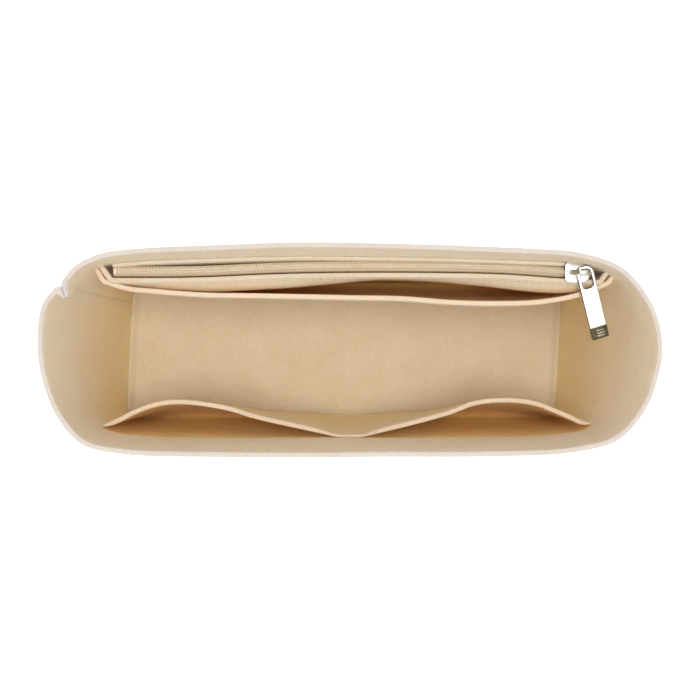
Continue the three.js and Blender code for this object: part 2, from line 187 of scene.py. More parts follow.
def rounded_outline(length, width, radii, steps=7):
    """Points round a rectangle, anticlockwise from its lower left corner, with one radius or four."""
    points = []
    for (x, y, turn), r in zip([(-1, -1, 2), (1, -1, 3), (1, 1, 0), (-1, 1, 1)], np.broadcast_to(radii, 4)):
        angles = np.linspace(turn, turn + 1, steps) * (math.pi / 2)
        centre = (x * (length / 2 - r), y * (width / 2 - r))
        points.append(centre + r * np.column_stack([np.cos(angles), np.sin(angles)]))
    return np.vstack(points)


def base_points():
    """Base outline from under the seam, round the left end, front, right end and back."""
    seam = [(-BASE_LENGTH / 2, SEAM_BASE_Y)]
    points = np.vstack([seam, rounded_outline(BASE_LENGTH, BASE_WIDTH, BASE_CORNER, 24), seam])
    points[:, 0] += BASE_SKEW * points[:, 1]
    return points


rim_route = Route(smooth_curve([(x * RIM_LENGTH / 2, y * RIM_WIDTH / 2) for x, y in RIM_SHARES]))
base_route = Route(base_points())


# The wall's surface

WAVE_LENGTH = 46.0
WAVE_DEPTH = 0.35
# Heights between which the waves of the felt set in
WAVES_FROM = (10, 60)
# Heights between which the zip draws the back wall in and lets it go again, and where the back begins
BULGE_FROM = (55, 104)
BULGE_UNTIL = (122, HEIGHT)
BACK_FROM_Y = 20
# How far the zip draws the back wall in, in millimetres at shares of half the rim's length
BACK_BULGE = [
    (-1.0, 0), (-0.9, 0.1), (-0.79, 1.2), (-0.7, 1.4), (-0.4, 1.6), (0, 1.7), (0.4, 1.45), (0.7, 0.8),
    (0.8, 0.3), (0.9, 0), (1.0, 0),
]


def waves(points, z):
    """Slow unevenness of the felt, nothing at the base."""
    values = np.array([noise.noise(Vector(p)) for p in raised(points, z) * (1 / WAVE_LENGTH)])
    return values * WAVE_DEPTH * ease(z, *WAVES_FROM)


bulge_across = table_curve(BACK_BULGE, 1, RIM_LENGTH / 2)


def back_bulge(points, z):
    """The back wall is drawn in behind the zip."""
    up = ease(z, *BULGE_FROM) * (1 - ease(z, *BULGE_UNTIL))
    return bulge_across(points[:, 0]) * up * (points[:, 1] > BACK_FROM_Y)


def wall_points(places, z, depth):
    """Points of the wall: places round it from 0 to 1, depth in from its outside."""
    share = z / HEIGHT
    inward = unit(leftward(mix(base_route.direction(places), rim_route.direction(places), share)))
    outside = mix(base_route.at(places), rim_route.at(places), share)
    inset = depth + waves(outside, z) + back_bulge(outside, z)
    return raised(outside + inward * inset[:, None], z)


def place_at_x(x, low, high):
    """Place round the wall where the rim passes x, between two places."""
    places = np.linspace(low, high, 4000)
    return places[np.argmin(np.abs(rim_route.at(places)[:, 0] - x))]


# Meshes

def linked(name, data):
    """A new object in the scene."""
    piece = bpy.data.objects.new(name, data)
    bpy.context.scene.collection.objects.link(piece)
    return piece


def make_object(name, points, faces, materials, sharp=50, picks=None):
    """A mesh object in metres. picks gives each face the number of its material."""
    mesh = bpy.data.meshes.new(name)
    mesh.from_pydata((np.array(points) * MM).tolist(), [], faces)
    mesh.shade_smooth()
    mesh.set_sharp_from_angle(angle=math.radians(sharp))
    for material in materials:
        mesh.materials.append(material)
    if picks is not None:
        mesh.polygons.foreach_set("material_index", picks)
    return linked(name, mesh)


def skin_faces(levels, count):
    """Faces between rings of count points, from each ring to the next."""
    following = [*range(1, count), 0]
    return [
        (low + i, low + j, low + count + j, low + count + i)
        for low in range(0, (levels - 1) * count, count) for i, j in enumerate(following)
    ]


def capped_faces(levels, count):
    """Faces between rings, with one flat face at each end."""
    last = (levels - 1) * count
    return [*skin_faces(levels, count), tuple(range(count))[::-1], tuple(last + i for i in range(count))]


def loft(name, rings, materials, paint):
    """A loft of rings, with each end closed by a strip across its ring.

    paint(level, column) numbers the material of each face by its lowest corner.
    """
    rings = np.array(rings)
    count = rings.shape[1]
    faces = skin_faces(len(rings), count)
    last = (len(rings) - 1) * count
    for i in range(count // 2 - 1):
        j = count - 1 - i
        faces.append((i, j, j - 1, i + 1))
        faces.append((last + i, last + i + 1, last + j - 1, last + j))
    picks = []
    for face in faces:
        columns = {corner % count for corner in face}
        closing = columns >= {0, count - 1}
        picks.append(paint(min(face) // count, count - 1 if closing else min(columns)))
    return make_object(name, rings.reshape(-1, 3), faces, materials, 50, picks)


# A sheet's top edge is rounded by this share of half its thickness
TOP_ROUNDING = 0.55
# A sheet thins by this share at its ends, within about this number of columns
END_THINNING = 0.4
END_COLUMNS = 0.7


def felt_sheet(name, middle, thickness, columns, levels, materials, painted_shade_faces=None, slack=np.ones_like):
    """A felt sheet about a middle surface middle(s, w), with a rounded edge at its top.

    The materials are those of its face, its cut edge and its painted shade, a deeper tone for the faces
    inside a pocket. painted_shade_faces(w, side) tells which faces take the painted shade: side is 0 to the
    right of the line and 1 to its left. slack(s) thins the sheet.
    """
    radius = thickness / 2 * TOP_ROUNDING
    shares = np.linspace(0, 1, columns + 1)
    ends = 1 - END_THINNING * np.exp(-np.minimum(shares, 1 - shares) * columns / END_COLUMNS)
    pressed = ends * slack(shares)

    def ring(w, half, rise):
        centre = middle(shares, w)
        along = unit(np.gradient(centre[:, :2], axis=0))
        across = leftward(along) * (half * pressed)[:, None]
        z = centre[:, 2] + rise * pressed
        return np.vstack([raised(centre[:, :2] - across, z), raised(centre[:, :2] + across, z)[::-1]])

    heights = np.linspace(0, 1, levels + 1)
    rings = [ring(w, thickness / 2, -radius if w == 1 else 0) for w in heights]
    for angle in np.radians([25, 50, 72, 90]):
        half = thickness / 2 - radius + radius * math.cos(angle)
        rings.append(ring(1, half, radius * (math.sin(angle) - 1)))

    def paint(level, column):
        if level >= levels:
            return 1
        side = int(columns < column <= 2 * columns)
        # Faces inside a pocket take the painted shade
        return 2 if painted_shade_faces and painted_shade_faces(heights[level], side) else 0

    return loft(name, rings, materials, paint)


# Materials

def srgb(*tone):
    """A colour picked in 8-bit sRGB as the linear values that shaders take."""
    values = np.array(tone) / 255
    linear = np.where(values <= 0.04045, values / 12.92, ((values + 0.055) / 1.055) ** 2.4)
    return (*linear.tolist(), 1.0)


class Nodes:
    """Short calls for the nodes of a tree."""

    def __init__(self, tree):
        self.tree = tree

    def feed(self, socket, value):
        """Give a socket a value, or link it to another node's output."""
        if isinstance(value, bpy.types.NodeSocket):
            self.tree.links.new(value, socket)
        else:
            socket.default_value = value

    def add(self, kind, inputs=(), **settings):
        """A new node with its settings, and with (name, value) pairs for its inputs."""
        node = self.tree.nodes.new(kind)
        for key, value in settings.items():
            setattr(node, key, value)
        for key, value in inputs:
            self.feed(node.inputs[key], value)
        return node

    def maths(self, operation, a, b):
        return self.add("ShaderNodeMath", [(0, a), (1, b)], operation=operation).outputs["Value"]

    def weighted(self, *pairs):
        """The sum of two values, each times its share."""
        return self.maths("ADD", *(self.maths("MULTIPLY", value, share) for value, share in pairs))

    def seen(self):
        """1 for what the camera sees, itself or in a reflection, and otherwise 0."""
        paths = self.add("ShaderNodeLightPath")
        return self.maths("MAXIMUM", paths.outputs["Is Camera Ray"], paths.outputs["Is Glossy Ray"])


class Shader(Nodes):
    """A node material with a Principled shader, whose values are named as its sockets are."""

    def __init__(self, name, **values):
        self.material = bpy.data.materials.new(name)
        self.material.use_nodes = True
        super().__init__(self.material.node_tree)
        self.surface = self.tree.nodes["Principled BSDF"].inputs
        for key, value in values.items():
            self.surface[key.replace("_", " ").title().replace("Ior", "IOR")].default_value = value

    def place(self, scale=(1, 1, 1)):
        """Object coordinates, in metres, stretched by scale."""
        place = self.add("ShaderNodeTexCoord").outputs["Object"]
        return self.add("ShaderNodeMapping", [("Vector", place), ("Scale", scale)]).outputs["Vector"]

    def noise(self, vector, scale, detail=3, roughness=0.55, distortion=0.0):
        names = ("Vector", "Scale", "Detail", "Roughness", "Distortion")
        inputs = zip(names, (vector, scale, detail, roughness, distortion))
        return self.add("ShaderNodeTexNoise", inputs).outputs["Fac"]

    def ramp(self, value, places, colours):
        node = self.add("ShaderNodeValToRGB", [("Fac", value)])
        elements = node.color_ramp.elements
        while len(elements) < len(places):
            elements.new(0.5)
        for element, place, colour in zip(elements, places, colours):
            element.position = place
            element.color = colour
        return node.outputs["Color"]

    def bump(self, height, strength, distance, after=()):
        inputs = [("Height", height), ("Strength", strength), ("Distance", distance), *after]
        return self.add("ShaderNodeBump", inputs).outputs["Normal"]

    def finish(self, colour, height, strength, distance, after=()):
        """The material, with its colour and its bump in place."""
        self.feed(self.surface["Base Color"], colour)
        self.feed(self.surface["Normal"], self.bump(height, strength, distance, after))
        return self.material


# How much light passes into the felts, and how far in metres, red furthest
FELT_BLEED = 0.4
FOOT_BLEED = 0.1
POCKET_SHADE_BLEED = 0.5
SLIP_BLEED = 0.9
BLEED_RADIUS = (1.0, 0.5, 0.16)
BLEED_SCALE = 0.006
# Painted shade: inner faces deepen in tone from the first height down to the second, by these factors
PAINTED_SHADE_HEIGHTS = (112.0, 12.0)
PAINTED_SHADE_TINT = (0.99, 0.93, 0.71, 1.0)


def with_painted_shade(shader, colour):
    """The colour, warmer towards the bottom of the tub: painted shade for its depth."""
    place = shader.add("ShaderNodeTexCoord").outputs["Object"]
    height = shader.add("ShaderNodeSeparateXYZ", [("Vector", place)]).outputs["Z"]
    limits = [("Value", height), ("From Min", PAINTED_SHADE_HEIGHTS[0] * MM), ("From Max", PAINTED_SHADE_HEIGHTS[1] * MM)]
    depth = shader.add("ShaderNodeMapRange", limits, interpolation_type="SMOOTHSTEP").outputs["Result"]
    # The mix's inputs 6 and 7 and its output 2 are those for colours
    inputs = [("Factor", depth), (6, colour), (7, PAINTED_SHADE_TINT)]
    return shader.add("ShaderNodeMix", inputs, data_type="RGBA", blend_type="MULTIPLY").outputs[2]


# Sizes of noise, as waves in a metre
CLOUDS, CLUMPS, FIBRES, SPECKS = 48, 420, 1500, 2600
TWILL, YARNS, WINDINGS, TWISTS = 420, 1800, 420, 2400
WEAR, POLISHING = 240, 900


def felt_material(name, bleed, *tones, paints_shade=False):
    """Needled felt: tangled fine fibres, a short fuzz and slow clouds of tone, from dark to light, with
    painted shade low down where asked.
    """
    shader = Shader(
        name, roughness=1.0, specular_ior_level=0.12, sheen_weight=0.2, sheen_roughness=0.6,
        subsurface_weight=bleed, subsurface_radius=BLEED_RADIUS, subsurface_scale=BLEED_SCALE,
    )
    place = shader.place()
    cloud = shader.noise(place, CLOUDS, detail=3, roughness=0.5)
    clump = shader.noise(place, CLUMPS, detail=4, roughness=0.6, distortion=0.8)
    fibre = shader.noise(shader.place((1, 1, 2.2)), FIBRES, detail=6, roughness=0.7, distortion=1.6)
    speck = shader.noise(shader.place((2.4, 1, 1)), SPECKS, detail=3, distortion=2.5)
    tangle = shader.weighted((fibre, 0.6), (speck, 0.4))
    broad = shader.weighted((clump, 0.28), (cloud, 0.22))
    tone = shader.maths("ADD", shader.maths("MULTIPLY", tangle, 0.5), broad)
    colour = shader.ramp(tone, (0.34, 0.5, 0.64), [srgb(*tone) for tone in tones])
    if paints_shade:
        colour = with_painted_shade(shader, colour)
    soft = shader.bump(shader.maths("ADD", cloud, clump), 0.3, 0.0008)
    return shader.finish(colour, tangle, 0.6, 0.00035, [("Normal", soft)])


def tape_material():
    """Woven zip tape: a fine twill of two yarns."""
    shader = Shader("zip_tape_weave", roughness=0.85, specular_ior_level=0.25, sheen_weight=0.15)
    place = shader.place()
    inputs = [("Vector", place), ("Scale", TWILL), ("Distortion", 0.6)]
    weave = shader.add("ShaderNodeTexWave", inputs, wave_type="BANDS", bands_direction="DIAGONAL")
    height = shader.weighted((weave.outputs["Fac"], 0.6), (shader.noise(place, YARNS, detail=4), 0.4))
    colour = shader.ramp(height, (0.2, 0.75), (srgb(206, 187, 157), srgb(229, 213, 187)))
    return shader.finish(colour, height, 0.7, 0.00025)


def strand_material(shader, scale, stretch, distortion, tones, strength, distance):
    """One fine grain in two tones, along a strand."""
    grain = shader.noise(shader.place((1, 1, stretch)), scale, distortion=distortion)
    return shader.finish(shader.ramp(grain, (0.35, 0.65), tones), grain, strength, distance)


def metal_material(name, light, dark, smoothest, roughest):
    """Plated metal with fine polishing marks and a few worn spots."""
    shader = Shader(name, metallic=1.0, specular_ior_level=0.5)
    wear = shader.noise(shader.place(), WEAR, detail=5, roughness=0.65)
    marks = shader.noise(shader.place((1, 6, 1)), POLISHING, detail=4)
    limits = [("Value", marks), ("To Min", smoothest), ("To Max", roughest)]
    shader.feed(shader.surface["Roughness"], shader.add("ShaderNodeMapRange", limits).outputs["Result"])
    return shader.finish(shader.ramp(wear, (0.3, 0.6), (dark, light)), marks, 0.12, 0.00005)


# Tones are in 8-bit sRGB
FACE_TONES = (243, 219, 190), (250, 233, 207), (254, 241, 219)
# Painted shade: the caramel tone inside the slip pocket's gap
SLIP_GAP_SHADE_TONES = (252, 206, 126), (254, 215, 139), (255, 223, 152)
felt = felt_material("beige_felt", FOOT_BLEED, (227, 201, 167), (237, 216, 187), (243, 226, 200))
felt_base = felt_material("base_beige_felt", FOOT_BLEED, (214, 192, 161), (224, 207, 181), (230, 217, 195))
# The foot is darker than the base: painted shade in the corner between floor and wall
felt_foot_shade = felt_material("foot_felt_painted_shade", FOOT_BLEED, (212, 189, 154), (222, 204, 174), (228, 214, 188))
felt_inner = felt_material("inner_felt", FELT_BLEED, *FACE_TONES, paints_shade=True)
felt_sheet_face = felt_material("pocket_felt", FELT_BLEED, *FACE_TONES, paints_shade=True)
# Painted shade inside the pockets: deeper caramel felts where shade falls, on the wall behind the front
# pockets
felt_pocket_shade = felt_material(
    "pocket_inside_felt_painted_shade", POCKET_SHADE_BLEED, (246, 209, 122), (252, 220, 135), (254, 228, 149),
)
felt_pocket_face = felt_material(
    "front_pocket_face", FOOT_BLEED, (245, 221, 181), (252, 234, 198), (254, 241, 210), paints_shade=True,
)
# Painted shade on the back of the front pocket's sheet, inside the pockets
felt_pocket_back_shade = felt_material(
    "front_pocket_back_painted_shade", POCKET_SHADE_BLEED, (236, 182, 92), (246, 194, 104), (250, 202, 116),
)
# Painted shade on the zip panel's face below its lit top
felt_zip_panel_shade = felt_material("zip_panel_painted_shade", FOOT_BLEED, *SLIP_GAP_SHADE_TONES)
felt_slip_face = felt_material("slip_pocket_face", SLIP_BLEED, *FACE_TONES, paints_shade=True)
# Painted shade on the slip panel's back, inside its gap
felt_slip_gap_shade = felt_material("slip_pocket_painted_shade", SLIP_BLEED, *SLIP_GAP_SHADE_TONES)
felt_edge = felt_material("cut_felt_edge", FELT_BLEED, (225, 196, 166), (234, 209, 183), (239, 218, 197))
felt_zip_edge = felt_material("zip_felt_edge", FELT_BLEED, (210, 189, 164), (221, 202, 179), (226, 211, 192))
# The rim's paler, greyer tone is a painted highlight: the top edge washed out by the light
felt_rim_highlight = felt_material("rim_edge_painted_highlight", FELT_BLEED, (207, 193, 181), (217, 206, 197), (223, 215, 209))
tape_weave = tape_material()
# Dyed nylon teeth, slightly glossy, and twisted sewing thread, a little darker than the felt
coil_nylon = strand_material(
    Shader("zip_coil_nylon", roughness=0.42, specular_ior_level=0.45), WINDINGS, 1, 0,
    (srgb(228, 213, 187), srgb(240, 228, 205)), 0.25, 0.0001,
)
thread = strand_material(
    Shader("sewing_thread", roughness=0.6, specular_ior_level=0.4, sheen_weight=0.2), TWISTS, 3, 1.2,
    (srgb(205, 184, 154), srgb(226, 208, 182)), 0.5, 0.00015,
)
plated = metal_material("plated_metal", srgb(246, 245, 243), srgb(236, 234, 231), 0.12, 0.24)
# The pull's dark grip, and the patch of painted shade on top of the slider's crown
dark_grip_and_crown_shade_metal = metal_material("dark_grip_and_painted_crown_shade", srgb(96, 88, 70), srgb(34, 30, 23), 0.3, 0.5)
rib_metal = metal_material("worn_rib_metal", srgb(168, 160, 148), srgb(120, 110, 96), 0.2, 0.35)
# Painted dark reflection: rounded metal edges take a dark tone for the dark surroundings they would mirror
painted_reflection_metal = metal_material("slider_edges_painted_reflection", srgb(92, 82, 66), srgb(60, 52, 40), 0.25, 0.4)


# The wall strip

WALL_COLUMNS = 440
WALL_ROUNDING = 0.75
wall_places = np.linspace(0, 1, WALL_COLUMNS + 1)
beside_fin = np.array([1 / 3, 2 / 3]) / WALL_COLUMNS * 3
inner_places = np.concatenate([beside_fin, wall_places[3:-3], 1 - beside_fin[::-1]])
outer_places = np.concatenate([wall_places[:1], inner_places, wall_places[-1:]])


def wall_ring(outer_z, inner_z, inner_depth, inset=0.0):
    """One closed ring of the wall strip, with its ends turned in side by side as fins."""
    outside = wall_points(outer_places, outer_z, inset)
    inside = wall_points(inner_places, inner_z, inner_depth - inset)
    blend = float(ease(outer_z, HEIGHT - FIN_BLEND_HEIGHT, HEIGHT))
    ends = wall_points(wall_places[[0, -1]], outer_z, 0)[:, :2]
    deeper = wall_points(wall_places[[0, -1]], outer_z, 1)[:, :2]
    straight_in = unit((deeper - ends).sum(axis=0))
    along = unit(mix(straight_in, FIN_DIRECTION, blend))
    side = leftward(along)
    root = ends.mean(axis=0) + straight_in * (SEAM_NOTCH + inset)
    reach = max(inner_depth - SEAM_NOTCH, 0) + FIN_PROUD_AT_RIM * blend - 2 * inset

    def fin_point(sideways, inwards, z):
        return np.append(root + side * sideways + along * inwards, z)

    face = SEAM_GAP / 2 + inset
    back = SEAM_GAP / 2 + FIN_FELT - inset
    return np.vstack([
        fin_point(-face, reach, inner_z),
        fin_point(-face, 0, outer_z),
        outside,
        fin_point(face, 0, outer_z),
        fin_point(face, reach, inner_z),
        fin_point(back, reach, inner_z),
        inside[::-1],
        fin_point(-back, reach, inner_z),
    ])


FOOT_DEPTH = WALL_FELT + FOOT_WIDTH
# The foot's section: heights above the base outside and inside, and the depth of the inside
FOOT_PROFILE = [
    (0.0, 0.0, FOOT_DEPTH - 0.1), (0.08, 0.12, FOOT_DEPTH), (0.16, 0.3, FOOT_DEPTH - 0.8),
    (0.24, 0.6, FOOT_DEPTH - 2.0), (0.32, 0.85, FOOT_DEPTH - 3.0), (0.4, 0.9, WALL_FELT + 0.9),
    (0.5, 0.7, WALL_FELT + 0.5), (0.6, 0.4, WALL_FELT + 0.25), (1.8, 1.8, WALL_FELT),
]
ABOVE_FOOT = 4.1


def wall_strip():
    base = BASE_THICKNESS
    rings = [wall_ring(base + outer, base + inner, depth) for outer, inner, depth in FOOT_PROFILE]
    top = HEIGHT - WALL_ROUNDING
    lower = np.linspace(base + ABOVE_FOOT, POCKET_TOP, 22)
    levels = [*lower, *np.linspace(POCKET_TOP, top, 14)[1:]]
    rings += [wall_ring(z, z, WALL_FELT) for z in levels]
    for angle in np.radians([20, 40, 60, 78, 90]):
        z = top + WALL_ROUNDING * math.sin(angle)
        rings.append(wall_ring(z, z, WALL_FELT, WALL_ROUNDING * (1 - math.cos(angle))))
    # The ring's columns: a fin's two corners, the outside, the other fin's three, and the inside
    inner_from = len(outer_places) + 3
    foot = len(FOOT_PROFILE)

    def paint(level, column):
        """Rim with painted highlight, outside, foot with painted shade, painted shade behind the front
        pockets, or inside.
        """
        # The rounded rim takes the painted highlight
        if level >= foot + len(levels) - 1:
            return 2
        if column < inner_from:
            return 0
        # The foot's inner faces take the painted corner shade
        if level < foot - 2:
            return 4
        spot = column - inner_from - 2
        place = inner_places[::-1][min(max(spot, 0), len(inner_places) - 1)]
        # Behind the front pockets, below their tops, the wall takes the painted shade
        below = level < foot + len(lower) - 1
        return 3 if below and pocket_start < place < pocket_end else 1

    piece = loft("wall_felt", rings, [felt, felt_inner, felt_rim_highlight, felt_pocket_shade, felt_foot_shade], paint)
    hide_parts("wall_band")
    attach(piece, "root")


BASE_EDGE = 0.5


def base_sheet():
    shares = np.arange(WALL_COLUMNS) / WALL_COLUMNS
    outline = base_route.at(shares)
    inward = leftward(base_route.direction(shares))
    top = BASE_THICKNESS
    levels = [(0, BASE_EDGE), (BASE_EDGE, 0), (top - BASE_EDGE, 0), (top, BASE_EDGE / 2)]
    rings = [raised(outline + inward * inset, z) for z, inset in levels]
    piece = loft("base_felt", rings, [felt_base], lambda level, column: 0)
    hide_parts("base_panel")
    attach(piece, "root")


# The front pockets

POCKET_DEPTH = 16.0
# Below 1, the pocket's felt stands away from the wall low down and is steep at the top
POCKET_PUFF = 0.6
POCKET_MIDDLE_X = -1.5
POCKET_SEWN_WIDTH = 12.0
POCKET_CLEARANCE = 0.1
# How far each pocket stands out from its outer end to the middle seam, as shares of its depth
LEFT_POCKET_SHARES = [
    (0, 0), (0.07, 0.3), (0.145, 0.62), (0.22, 0.87), (0.3, 0.99), (0.37, 1), (0.53, 0.83),
    (0.66, 0.56), (1, 0),
]
RIGHT_POCKET_SHARES = [
    (0, 0), (0.05, 0.17), (0.115, 0.43), (0.18, 0.68), (0.25, 0.9), (0.33, 1.02), (0.42, 1.05),
    (0.51, 0.98), (0.64, 0.66), (1, 0),
]
# Where the sheet is sewn, it is pressed to this share of its thickness, up to this share of the bulge
POCKET_PRESSED = 0.6
PRESSED_UNTIL = 0.22
# Places of its ends and its middle, each looked for between two places round the wall
pocket_start = place_at_x(POCKET_LEFT_X, 0.08, 0.3)
pocket_middle = place_at_x(POCKET_MIDDLE_X, 0.2, 0.5)
pocket_end = place_at_x(POCKET_RIGHT_X, 0.4, 0.6)


def front_pockets():
    half = POCKET_SEWN_WIDTH / 2 / rim_route.length
    left_bulge, right_bulge = table_curve(LEFT_POCKET_SHARES), table_curve(RIGHT_POCKET_SHARES)

    def bulge_at(shares):
        places = mix(pocket_start, pocket_end, shares)
        left = (places - pocket_start) / (pocket_middle - half - pocket_start)
        right = (pocket_end - places) / (pocket_end - pocket_middle - half)
        return places, np.where(places < pocket_middle, left_bulge(left), right_bulge(right))

    def slack(shares):
        """The sheet is pressed thinner where it is sewn to the wall."""
        return mix(POCKET_PRESSED, 1, ease(bulge_at(shares)[1], 0, PRESSED_UNTIL))

    def surface(shares, w):
        places, bulge = bulge_at(shares)
        seated = WALL_FELT + POCKET_CLEARANCE + slack(shares) * (SOFT_FELT / 2 + POCKET_CLEARANCE)
        depth = seated + POCKET_DEPTH * bulge * w**POCKET_PUFF
        return wall_points(places, mix(POCKET_BOTTOM, POCKET_TOP, w), depth)

    piece = felt_sheet(
        "front_pocket_felt", surface, SOFT_FELT, 260, 30, [felt_pocket_face, felt_edge, felt_pocket_back_shade],
        lambda w, side: side == 0, slack,
    )
    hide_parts("front_pocket_panel")
    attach(piece, "root")


# The back pockets

PANEL_BOTTOM, PANEL_TOP = node_heights("zip_pocket_panel")
SLIP_TOP = node_heights("slip_pocket_panel")[1]
PANEL_BOTTOM_Y = BASE_WIDTH / 2 - WALL_FELT - SEAT_CLEARANCE - POCKET_FELT / 2
LAYER_CLEARANCE = 0.3
LAYER_STEP = POCKET_FELT + LAYER_CLEARANCE
SLIP_PUFF = 0.5
# The top of the zip panel's face, which the light reaches; below it the face takes the painted shade
LIT_FACE = 20.0
END_TUCK = 0.6
coil_low, coil_high = node_box("zip_coil_rear")
ZIP_Y = coil_low[1] - 0.5
ZIP_GROOVE = 5.0
BAND_FELT = 1.8
BAND_HEIGHT = 18.0
BAND_CLEARANCE = 0.05
# How far the zip bows back from its straight line, at shares of half the rim's length
CHAIN_BOW = 3.2
CHAIN_BOW_SHARES = [
    (-0.9, 0.2), (-0.78, 0.2), (-0.62, 0.2), (-0.49, 0.3), (-0.23, 0.79), (0.1, 1),
    (0.5, 0.79), (0.68, 0.26), (0.77, 0.1), (0.9, 0.0),
]
chain_bow = table_curve(CHAIN_BOW_SHARES, CHAIN_BOW, RIM_LENGTH / 2)
# How far the zip panel's face swells forward below its top edge
PANEL_SWELL = 4.0
PANEL_SWELL_SHARES = [
    (-0.95, 0), (-0.82, 0.1), (-0.72, 0.42), (-0.49, 0.95), (-0.36, 0.99), (-0.23, 0.92), (-0.06, 0.5),
    (0.1, 0.05), (0.27, 0.2), (0.43, 0.6), (0.6, 1), (0.75, 0.9), (0.85, 0.3), (0.95, 0),
]
panel_swell = table_curve(PANEL_SWELL_SHARES, PANEL_SWELL, RIM_LENGTH / 2)
# Depths below its top edge between which the swell sets in and fades
SWELL_FROM = (0, 13)
SWELL_UNTIL = (22, 95)
# Share of a panel's height at which it has reached its top line
UPRIGHT_FROM = 0.87
# How far the zip panel stands in front of the zip, besides the groove
PANEL_FORWARD = 0.85
# Where the zip panel turns back to the wall, as shares of half the rim's length and half its width
PANEL_RETURNS = [[(-0.852, 0.919), (-0.791, 0.668)], [(0.827, 0.645), (0.875, 0.848)]]
# Top edge of the slip pocket between its own returns, in the same shares
SLIP_EDGE_SHARES = [
    (-0.8, 0.642), (-0.77, 0.612), (-0.728, 0.585), (-0.661, 0.567), (-0.495, 0.531), (-0.329, 0.523),
    (-0.162, 0.515), (-0.012, 0.506), (0.171, 0.496), (0.337, 0.46), (0.504, 0.45), (0.636, 0.467),
    (0.753, 0.529), (0.809, 0.5875), (0.845, 0.632),
]
SLIP_RETURNS = [[(-0.868, 0.902), (-0.819, 0.66)], [(0.861, 0.652), (0.91, 0.854)]]
RETURN_SOFTNESS = 1.3


def rim_scaled(shares):
    return np.array(shares) * (RIM_LENGTH / 2, RIM_WIDTH / 2)


def softened(points, step=0.25):
    """The line in steps, with its corners rounded."""
    route = Route(points)
    dense = route.at(np.linspace(0, 1, int(route.length / step) + 1))
    width = int(RETURN_SOFTNESS / step)
    kernel = np.hanning(2 * width + 3)[1:-1]
    padded = np.pad(dense, ((width, width), (0, 0)), mode="edge")
    return np.column_stack([np.convolve(column, kernel / kernel.sum(), mode="valid") for column in padded.T])


def inside_wall(points, z):
    """Whether plan points lie inside the wall, or in its felt no deeper than the ends are tucked."""
    ring = wall_points(np.linspace(0, 1, 700), z, WALL_FELT - END_TUCK)[:, :2]
    following = np.roll(ring, -1, axis=0)
    x, y = points[:, 0:1], points[:, 1:2]
    crosses = (ring[:, 1] > y) != (following[:, 1] > y)
    rise = following[:, 1] - ring[:, 1]
    rise = np.where(rise == 0, 1e-9, rise)
    at_x = ring[:, 0] + (y - ring[:, 1]) / rise * (following[:, 0] - ring[:, 0])
    # A line from a point inside crosses the ring an odd number of times
    return (crosses & (x < at_x)).sum(axis=1) % 2 == 1


def back_panel(name, top_line, bottom_y, top_z, swell, puff, materials, painted_shade_faces):
    """A panel between the ends of the back wall, whose ends turn back to the wall."""
    top = Route(top_line)

    def line(shares, w):
        z = mix(PANEL_BOTTOM, top_z, w)
        x = mix(-BASE_LENGTH / 2, BASE_LENGTH / 2, shares)
        lower = np.column_stack([x, np.full(len(x), bottom_y)])
        plan = mix(lower, top.at(shares), min(w / UPRIGHT_FROM, 1) ** puff)
        below = top_z - z
        plan[:, 1] -= swell(plan[:, 0]) * (ease(below, *SWELL_FROM) * (1 - ease(below, *SWELL_UNTIL)))
        return plan, z

    def surface(shares, w):
        tries = np.linspace(0, 1, 600)
        plan, z = line(tries, w)
        within = tries[inside_wall(plan, z)]
        return raised(*line(mix(within[0], within[-1], shares), w))

    piece = felt_sheet(name, surface, SOFT_FELT, 320, 34, materials, painted_shade_faces)
    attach(piece, "root")
    return piece, surface


def zip_panel():
    left, right = rim_scaled(PANEL_RETURNS)
    x = np.linspace(left[-1][0], right[0][0], 500)
    y = ZIP_Y + chain_bow(x) - ZIP_GROOVE / 2 - POCKET_FELT / 2 - PANEL_FORWARD
    line = softened(np.vstack([left[:1], np.column_stack([x, y]), right[1:]]))
    # Below its lit top, the face takes the painted shade of the slip pocket's gap
    shaded = 1 - LIT_FACE / (PANEL_TOP - PANEL_BOTTOM)
    piece, surface = back_panel(
        "zip_pocket_felt", line, PANEL_BOTTOM_Y, PANEL_TOP, panel_swell, 1,
        [felt_sheet_face, felt_zip_edge, felt_zip_panel_shade], lambda w, side: side == 0 and w < shaded,
    )
    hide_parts("zip_pocket_panel")
    return surface


def slip_panel():
    edge = smooth_curve(rim_scaled(SLIP_EDGE_SHARES))
    left, right = rim_scaled(SLIP_RETURNS)
    line = softened(np.vstack([left, edge, right]))
    # The slip panel's back, inside its gap, takes the painted shade
    piece, _ = back_panel(
        "slip_pocket_felt", line, PANEL_BOTTOM_Y - LAYER_STEP, SLIP_TOP, lambda x: 0 * x, SLIP_PUFF,
        [felt_slip_face, felt_edge, felt_slip_gap_shade], lambda w, side: side == 1,
    )
    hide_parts("slip_pocket_panel")


band_low, band_high = node_box("zip_rear_band")
band_start = place_at_x(band_high[0], 0.55, 0.7)
band_end = place_at_x(band_low[0], 0.9, 0.99)


def rear_band():
    def surface(shares, w):
        z = mix(PANEL_TOP - BAND_HEIGHT, PANEL_TOP, w)
        return wall_points(mix(band_start, band_end, shares), z, WALL_FELT + BAND_CLEARANCE + BAND_FELT / 2)

    piece = felt_sheet("zip_rear_felt", surface, BAND_FELT, 220, 8, [felt_sheet_face, felt_zip_edge])
    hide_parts("zip_rear_band")
    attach(piece, "root")


# The zip

